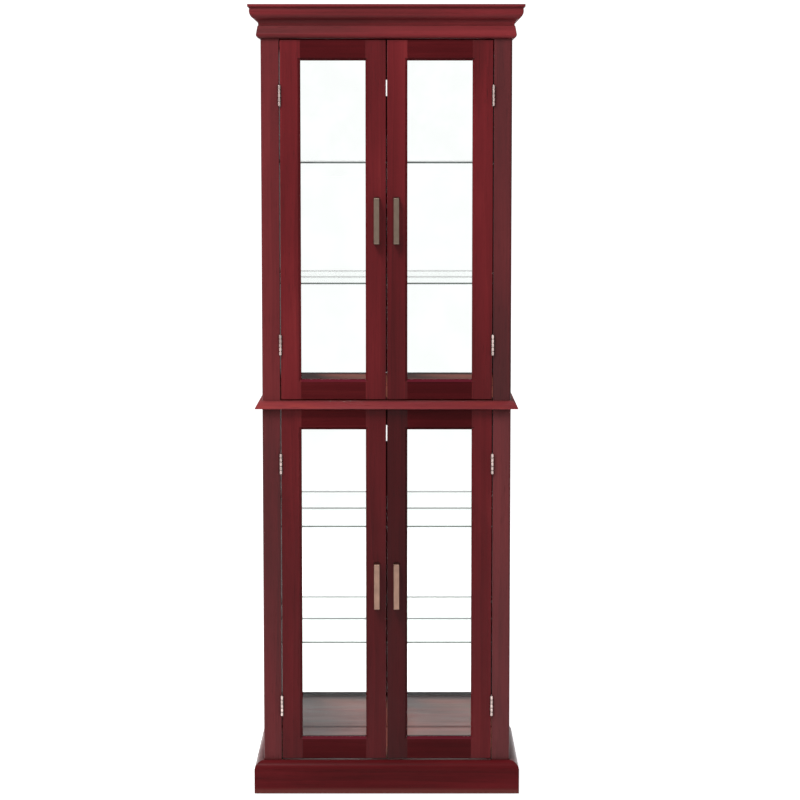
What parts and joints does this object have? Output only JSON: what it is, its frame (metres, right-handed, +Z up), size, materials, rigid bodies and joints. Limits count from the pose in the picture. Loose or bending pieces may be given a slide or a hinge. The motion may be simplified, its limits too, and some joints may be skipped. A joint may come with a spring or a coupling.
{
  "type": "china cabinet with glass doors",
  "caption": "Tall two-section wooden china cabinet with glazed hinged doors, bar handles, glass shelves, a mirrored back, and crown, waist and base mouldings.",
  "frame": {"origin": "on the floor, at the centre of the overall outline in plan", "axes": "+Z up, front with the doors towards -Y, back towards +Y, +X to the right seen from the front"},
  "size_m": [0.61, 0.38, 1.77],
  "materials": {
    "cherry_wood": "satin cherry stain",
    "hardboard": "raw hardboard",
    "mirror": "silvered glass",
    "clear_glass": "polished",
    "nickel": "brushed nickel",
    "hinge_steel": "bright plated",
    "screw_steel": "zinc plated",
    "white_plastic": "moulded",
    "black_plastic": "moulded"
  },
  "bodies": {
    "cabinet": {"base_front": "cherry_wood", "base_left": "cherry_wood", "base_right": "cherry_wood", "crown_front": "cherry_wood", "crown_left": "cherry_wood", "crown_right": "cherry_wood", "bottom_panel": "cherry_wood", "middle_panel": "cherry_wood", "top_panel": "cherry_wood", "lower_post_left": "cherry_wood", "lower_post_right": "cherry_wood", "lower_side_left": "cherry_wood", "lower_side_right": "cherry_wood", "lower_back_board": "hardboard", "lower_mirror": "mirror", "lower_shelf_low": "clear_glass", "lower_shelf_high": "clear_glass", "upper_post_left": "cherry_wood", "upper_post_right": "cherry_wood", "upper_side_left": "cherry_wood", "upper_side_right": "cherry_wood", "upper_back_board": "hardboard", "upper_mirror": "mirror", "upper_shelf_low": "clear_glass", "upper_shelf_high": "clear_glass", "shelf_pins": "nickel", "door_stops": "cherry_wood", "magnetic_catches": "white_plastic", "cabinet_hinge_leaves": "hinge_steel", "hinge_pins": "hinge_steel", "cabinet_screws": "screw_steel", "floor_glides": "black_plastic"},
    "lower_left_door": {"lower_left_door_stiles": "cherry_wood", "lower_left_door_rails": "cherry_wood", "lower_left_door_glass": "clear_glass", "lower_left_door_beads": "cherry_wood", "lower_left_door_handle": "nickel", "lower_left_door_hinge_leaves": "hinge_steel", "lower_left_door_fasteners": "screw_steel"},
    "lower_right_door": {"lower_right_door_stiles": "cherry_wood", "lower_right_door_rails": "cherry_wood", "lower_right_door_glass": "clear_glass", "lower_right_door_beads": "cherry_wood", "lower_right_door_handle": "nickel", "lower_right_door_hinge_leaves": "hinge_steel", "lower_right_door_fasteners": "screw_steel"},
    "upper_left_door": {"upper_left_door_stiles": "cherry_wood", "upper_left_door_rails": "cherry_wood", "upper_left_door_glass": "clear_glass", "upper_left_door_beads": "cherry_wood", "upper_left_door_handle": "nickel", "upper_left_door_hinge_leaves": "hinge_steel", "upper_left_door_fasteners": "screw_steel"},
    "upper_right_door": {"upper_right_door_stiles": "cherry_wood", "upper_right_door_rails": "cherry_wood", "upper_right_door_glass": "clear_glass", "upper_right_door_beads": "cherry_wood", "upper_right_door_handle": "nickel", "upper_right_door_hinge_leaves": "hinge_steel", "upper_right_door_fasteners": "screw_steel"}
  },
  "joints": [
    {"name": "lower_left_door_hinge", "type": "hinge", "parent": "cabinet", "child": "lower_left_door", "pos_m": [-0.2368, -0.16635, 0.476], "axis": [0, 0, -1], "range_deg": [0, 170]},
    {"name": "lower_right_door_hinge", "type": "hinge", "parent": "cabinet", "child": "lower_right_door", "pos_m": [0.2368, -0.16635, 0.476], "axis": [0, 0, 1], "range_deg": [0, 170]},
    {"name": "upper_left_door_hinge", "type": "hinge", "parent": "cabinet", "child": "upper_left_door", "pos_m": [-0.2368, -0.16635, 1.295], "axis": [0, 0, -1], "range_deg": [0, 170]},
    {"name": "upper_right_door_hinge", "type": "hinge", "parent": "cabinet", "child": "upper_right_door", "pos_m": [0.2368, -0.16635, 1.295], "axis": [0, 0, 1], "range_deg": [0, 170]}
  ]
}
